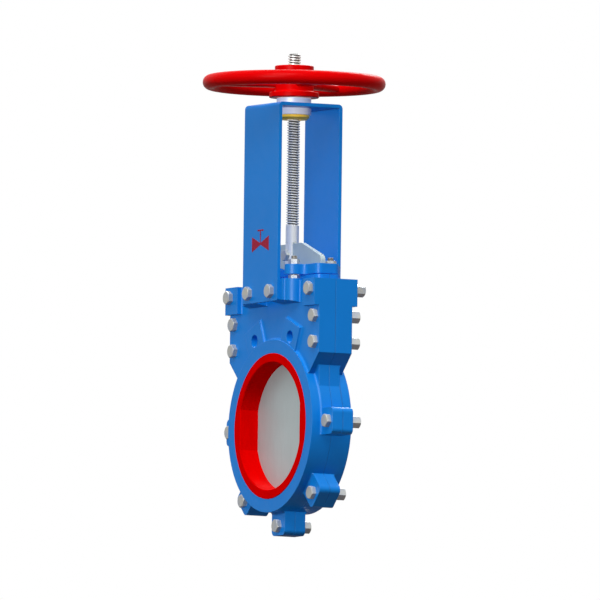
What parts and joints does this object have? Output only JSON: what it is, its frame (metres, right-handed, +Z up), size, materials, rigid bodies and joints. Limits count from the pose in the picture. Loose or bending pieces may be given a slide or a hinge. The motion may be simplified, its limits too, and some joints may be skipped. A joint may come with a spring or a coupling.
{
  "type": "knife gate valve",
  "caption": "Wafer knife gate valve: split flanged body with a lined port, plate gate, packed gland, sheet yoke, rising threaded stem and handwheel.",
  "frame": {"origin": "on the bore axis, in the middle plane between the two body halves and of the gate", "axes": "+Z up along the stem, the bore along Y with -Y the front face, +X to the right seen from the front"},
  "size_m": [0.341, 0.2856, 0.7543],
  "materials": {
    "blue_paint": "satin",
    "gasket_sheet": "matte",
    "red_urethane": "satin",
    "zinc_steel": "satin",
    "packing": "matte",
    "stainless": "satin",
    "bronze": "satin",
    "bearing_steel": "polished",
    "red_paint": "gloss"
  },
  "bodies": {
    "valve_body": {"body_front": "blue_paint", "body_rear": "blue_paint", "body_gasket": "gasket_sheet", "liner_front": "red_urethane", "liner_rear": "red_urethane", "pad_bolts": "zinc_steel", "pad_nuts": "zinc_steel", "chest_bolts": "zinc_steel", "chest_nuts": "zinc_steel", "lug_bolts": "zinc_steel", "lug_nuts": "zinc_steel", "packing_ring_lower": "packing", "packing_ring_middle": "packing", "packing_ring_upper": "packing", "gland": "blue_paint", "gland_studs": "zinc_steel", "gland_nuts": "zinc_steel", "gland_jam_nuts": "zinc_steel", "yoke": "blue_paint", "yoke_screws": "zinc_steel", "bearing_housing": "zinc_steel", "thrust_washer": "bronze", "bearing_race_lower": "bearing_steel"},
    "drive": {"handwheel": "red_paint", "stem_nut": "bronze", "hub_key": "stainless", "wheel_lock_nut": "zinc_steel", "bearing_race_upper": "bearing_steel"},
    "bearing_cage": {"bearing_balls": "bearing_steel", "bearing_cage": "bronze"},
    "gate_and_stem": {"gate": "stainless", "stem": "stainless", "clevis_bolt": "zinc_steel", "clevis_nut": "zinc_steel"}
  },
  "joints": [
    {"name": "handwheel_turn", "type": "hinge", "parent": "valve_body", "child": "drive", "pos_m": [0, 0, 0.5381], "axis": [0, 0, 1], "range_deg": [0, 17460]},
    {"name": "bearing_cage_turn", "type": "hinge", "parent": "valve_body", "child": "bearing_cage", "pos_m": [0, 0, 0.50925], "axis": [0, 0, 1], "range_deg": [0, 8730]},
    {"name": "gate_lift", "type": "slide", "parent": "valve_body", "child": "gate_and_stem", "axis": [0, 0, 1], "range_m": [0, 0.194]}
  ],
  "couplings": [
    {"joint": "gate_lift", "follows": "handwheel_turn", "m_per_rad": 0.00063662},
    {"joint": "bearing_cage_turn", "follows": "handwheel_turn", "ratio": 0.5}
  ]
}
